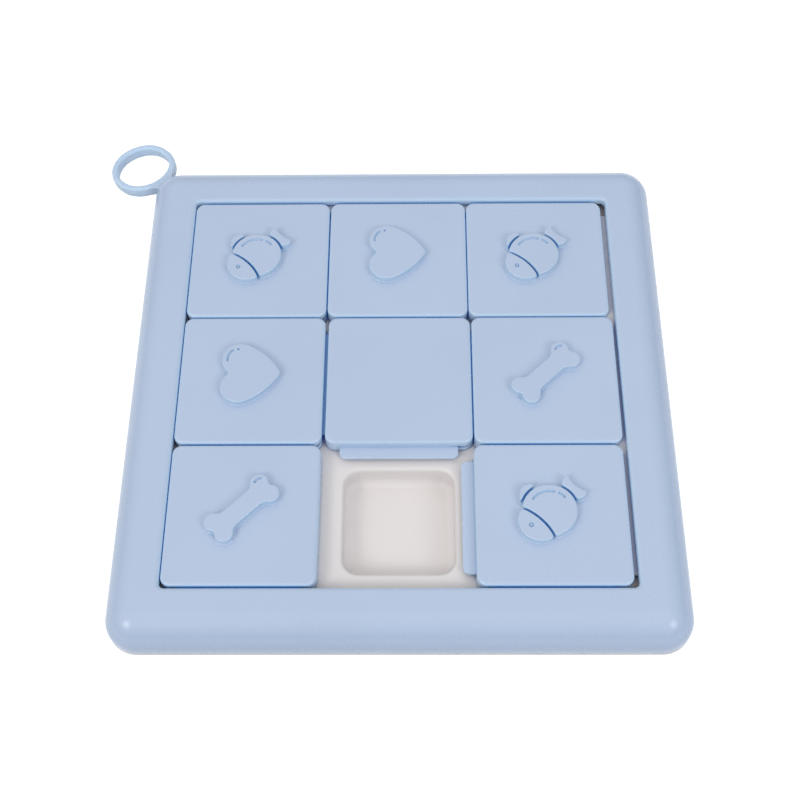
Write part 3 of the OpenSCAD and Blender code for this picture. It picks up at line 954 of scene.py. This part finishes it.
def screws():
    """Eight pan-head screws with a cross recess and a coarse thread."""
    head_r, core_r, tip_r = 2.8, 1.05, 0.25
    pitch, tip = 0.9, 2
    base = SCREW_LOW.z
    head_t, length = FLANGE_LOW - base, SCREW_HIGH.z - base
    profile = [(1.6, 0), (2.3, 0.12), (2.65, 0.4), (head_r, 0.9), (head_r, head_t)]
    profile.append((SCREW_R, head_t))
    thread = head_t + 0.6
    while thread < length - tip:
        profile += [(SCREW_R, thread), (core_r, thread + pitch / 2)]
        thread += pitch
    profile.append((tip_r, length))
    pieces = [[disc_ring(x, y, r, base + z, 5) for r, z in profile] for x, y in BOSSES]
    arm, half, recess = 1.2, 0.35, (-0.5, 0.8)
    cross = [(arm, -half), (arm, half), (half, half), (half, arm), (-half, arm), (-half, half)]
    cross += [(-px, -py) for px, py in cross]
    crosses = [[(px, py, base + z) for px, py in cross] for z in recess]
    recesses = [moved_rings(crosses, x, y) for x, y in BOSSES]
    obj = lofted("screw_set", *pieces)
    combine(obj, lofted("recesses", *recesses), "DIFFERENCE")
    dress(obj, "feeder", plated_steel(), "frame_screws")


def feet():
    """Five round rubber pads with a soft lower edge."""
    def ring(drawn, z):
        return disc_ring(0, 0, FOOT_R - drawn, z, 12)

    pad = slab_rings(ring, 0, FOOT_HIGH.z, top=0.2, bottom=0.8, hold=0.6)
    pads = lofted("foot_pads", *[moved_rings(pad, x, y) for x, y in FEET])
    dress(pads, "feeder", foot_rubber(), "rubber_feet")


def keep(node, material):
    """A CAD node that keeps its shape and gets its finish."""
    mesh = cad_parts[node].data
    mesh.materials.clear()
    mesh.materials.append(material)


# ---------------------------------------------------------------- studio

def shown_rays(tree):
    """1 for rays that show what they meet to the eye: straight, mirrored or through glass."""
    rays = tree.nodes.new("ShaderNodeLightPath").outputs
    direct = calculated(tree, "MAXIMUM", rays["Is Camera Ray"], rays["Is Glossy Ray"])
    return calculated(tree, "MAXIMUM", direct, rays["Is Transmission Ray"])


def studio_floor():
    """A plain floor that looks nearly white and keeps the shadows that fall on it."""
    half_size, shown, albedo = 4000, 0.92, (0.32, 0.35, 0.4)
    bm = bmesh.new()
    bmesh.ops.create_grid(bm, x_segments=1, y_segments=1, size=half_size)
    plane = to_object("floor", bm)
    material, tree, shader = new_material("floor", albedo, 0.9)
    shader.inputs["Specular IOR Level"].default_value = 0
    glow = tree.nodes.new("ShaderNodeEmission")
    glow.inputs["Strength"].default_value = shown
    both = tree.nodes.new("ShaderNodeAddShader")
    pick = tree.nodes.new("ShaderNodeMixShader")
    tree.links.new(shader.outputs[0], both.inputs[0])
    tree.links.new(glow.outputs[0], both.inputs[1])
    tree.links.new(shown_rays(tree), pick.inputs[0])
    tree.links.new(shader.outputs[0], pick.inputs[1])
    tree.links.new(both.outputs[0], pick.inputs[2])
    tree.links.new(pick.outputs[0], tree.nodes["Material Output"].inputs["Surface"])
    plane.data.materials.append(material)


def softbox(name, azimuth, elevation, size, power, colour):
    """A square lamp that looks at the middle of the object. Azimuth 0 is the front."""
    distance = 2.6
    lamp = bpy.data.lights.new(name, "AREA")
    lamp.shape = "SQUARE"
    lamp.size = size
    lamp.energy = power
    lamp.color = colour
    obj = bpy.data.objects.new(name, lamp)
    bpy.context.scene.collection.objects.link(obj)
    a, e = math.radians(azimuth), math.radians(elevation)
    away = Vector((math.sin(a) * math.cos(e), -math.cos(a) * math.cos(e), math.sin(e)))
    obj.location = away * distance
    obj.rotation_euler = away.to_track_quat("Z", "Y").to_euler()


def studio():
    """Even light, brightest overhead and a little to the left and the back, and a lamp at the
    front left and one at the front right."""
    brightest = (-0.14, 0.09, 0.985)
    horizon, zenith = (0.2, 0.25, 0.31), (1, 1, 0.985)
    world = bpy.data.worlds.new("studio")
    bpy.context.scene.world = world
    world.use_nodes = True
    tree = world.node_tree
    place = tree.nodes.new("ShaderNodeTexCoord")
    lean = tree.nodes.new("ShaderNodeVectorMath")
    lean.operation = "DOT_PRODUCT"
    lean.inputs[1].default_value = brightest
    tree.links.new(place.outputs["Generated"], lean.inputs[0])
    height = spread(tree, lean.outputs["Value"], 0, 1, 0, 1)
    sky = mixed(tree, height, horizon, zenith)
    tree.links.new(sky, tree.nodes["Background"].inputs["Color"])
    softbox("left_box", azimuth=-44, elevation=42, size=0.75, power=14, colour=(1, 0.95, 0.9))
    softbox("right_box", azimuth=47, elevation=38, size=0.9, power=12.4, colour=(0.97, 0.98, 1))
    bpy.context.scene.view_settings.view_transform = "Standard"


def camera():
    """The photograph's viewpoint: about 65 cm away at the front, looking steeply down."""
    place = Vector((9.01, -324.65, 593.28))
    down, yaw, roll = math.radians(61.156), math.radians(-1.594), math.radians(-1.578)
    look = Vector((math.sin(yaw) * math.cos(down), math.cos(yaw) * math.cos(down), -math.sin(down)))
    level = Vector((math.cos(yaw), -math.sin(yaw), 0))
    upright = level.cross(look)
    right = level * math.cos(roll) + upright * math.sin(roll)
    up = upright * math.cos(roll) - level * math.sin(roll)
    data = bpy.data.cameras.new("camera")
    data.sensor_fit = "HORIZONTAL"
    data.sensor_width = 36
    data.lens = 57.149
    data.clip_end = 20
    obj = bpy.data.objects.new("camera", data)
    bpy.context.scene.collection.objects.link(obj)
    turn = Matrix((right, up, -look)).transposed().to_4x4()
    obj.matrix_world = Matrix.Translation(place * MM) @ turn
    bpy.context.scene.camera = obj


camera()
studio()
studio_floor()
frame_shell()
tray_shell()
for tile_name, picture_kind in TILES.items():
    tile_cap(tile_name, picture_kind)
    tile_slider(tile_name)
for rail in ("right_rail", "back_rail"):
    keep(rail, white_plastic)
carry_loop()
screws()
feet()
